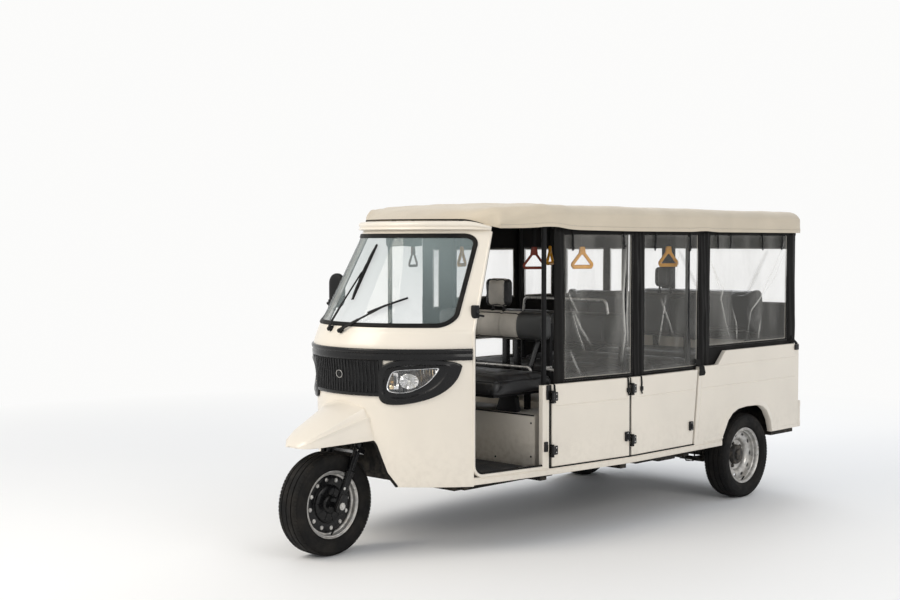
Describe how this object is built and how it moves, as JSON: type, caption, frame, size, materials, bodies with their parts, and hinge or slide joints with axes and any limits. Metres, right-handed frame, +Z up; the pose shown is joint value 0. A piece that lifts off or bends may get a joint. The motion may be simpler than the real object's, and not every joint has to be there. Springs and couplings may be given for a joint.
{
  "type": "auto rickshaw",
  "caption": "Three-wheeled passenger rickshaw with a rounded cab, soft roof, clear side curtains, hinged half doors and bench rows.",
  "frame": {"origin": "on the ground under the middle of the whole vehicle", "axes": "+X forward, +Y to the vehicle's left, +Z up"},
  "size_m": [3.641, 1.414, 1.7519],
  "materials": {
    "frame_black": "satin",
    "floor_mat": "ribbed mat",
    "body_cream": "gloss paint",
    "body_cream_inner": "satin paint",
    "black_trim": "semi-gloss",
    "lamp_lens": "clear moulded lens",
    "seal_rubber": "matte",
    "clear_glass": "clear",
    "dash_plastic": "grained",
    "red_lens": "moulded lens",
    "roof_cloth": "coated canvas",
    "curtain_cloth": "coated canvas",
    "clear_vinyl": "soft clear sheet",
    "seat_black": "vinyl",
    "seat_grey": "two-tone vinyl",
    "grip_plastic": "moulded",
    "cast_metal": "as cast",
    "spring_steel": "dull",
    "tyre_rubber": "matte",
    "wheel_steel": "silver paint"
  },
  "bodies": {
    "root": {"chassis_frame": "frame_black", "floor_pan": "floor_mat", "front_cowl": "body_cream", "wheel_house": "body_cream_inner", "front_mudguard": "body_cream", "grille_surround": "black_trim", "headlamps": "lamp_lens", "windscreen_frame": "body_cream", "windscreen_seal": "seal_rubber", "windscreen_glass": "clear_glass", "roof_cap": "body_cream", "dashboard": "dash_plastic", "mirrors": "black_trim", "wipers": "black_trim", "side_sills": "body_cream", "rear_quarters": "body_cream", "tail_panel": "body_cream", "tail_lamps": "red_lens", "roof_frame": "frame_black", "canopy": "roof_cloth", "curtain_left": "curtain_cloth", "curtain_right": "curtain_cloth", "curtain_rear": "curtain_cloth", "curtain_panes": "clear_vinyl", "seat_bases": "body_cream", "seat_cushions": "seat_black", "seat_backs": "seat_grey", "seat_frames": "frame_black", "hand_grips": "grip_plastic", "rear_axle": "cast_metal", "leaf_springs": "spring_steel", "hinge_brackets": "black_trim", "door_jambs": "body_cream"},
    "steering": {"front_fork": "frame_black", "handlebar": "frame_black"},
    "front_wheel": {"front_tyre": "tyre_rubber", "front_rim": "wheel_steel"},
    "rear_wheel_left": {"rear_left_tyre": "tyre_rubber", "rear_left_rim": "wheel_steel"},
    "rear_wheel_right": {"rear_right_tyre": "tyre_rubber", "rear_right_rim": "wheel_steel"},
    "door_left_front": {"door_left_front": "body_cream", "door_left_front_fittings": "black_trim"},
    "door_left_rear": {"door_left_rear": "body_cream", "door_left_rear_fittings": "black_trim"},
    "door_right_front": {"door_right_front": "body_cream", "door_right_front_fittings": "black_trim"},
    "door_right_rear": {"door_right_rear": "body_cream", "door_right_rear_fittings": "black_trim"}
  },
  "joints": [
    {"name": "steering", "type": "hinge", "parent": "root", "child": "steering", "pos_m": [1.5665, 0, 0.254], "axis": [-0.4226, 0, 0.9063], "range_deg": [-35, 35]},
    {"name": "front_wheel_spin", "type": "hinge", "parent": "steering", "child": "front_wheel", "pos_m": [1.5665, 0, 0.254], "axis": [0, 1, 0], "continuous": true},
    {"name": "rear_wheel_left_spin", "type": "hinge", "parent": "root", "child": "rear_wheel_left", "pos_m": [-1.2185, 0.595, 0.254], "axis": [0, 1, 0], "continuous": true},
    {"name": "rear_wheel_right_spin", "type": "hinge", "parent": "root", "child": "rear_wheel_right", "pos_m": [-1.2185, -0.595, 0.254], "axis": [0, 1, 0], "continuous": true},
    {"name": "door_left_front_hinge", "type": "hinge", "parent": "root", "child": "door_left_front", "pos_m": [0.57796, 0.63592, 0.45], "axis": [0, 0, -1], "range_deg": [0, 85]},
    {"name": "door_left_rear_hinge", "type": "hinge", "parent": "root", "child": "door_left_rear", "pos_m": [-0.0235, 0.699, 0.45], "axis": [0, 0, -1], "range_deg": [0, 85]},
    {"name": "door_right_front_hinge", "type": "hinge", "parent": "root", "child": "door_right_front", "pos_m": [0.57796, -0.63592, 0.45], "axis": [0, 0, 1], "range_deg": [0, 85]},
    {"name": "door_right_rear_hinge", "type": "hinge", "parent": "root", "child": "door_right_rear", "pos_m": [-0.0235, -0.699, 0.45], "axis": [0, 0, 1], "range_deg": [0, 85]}
  ]
}
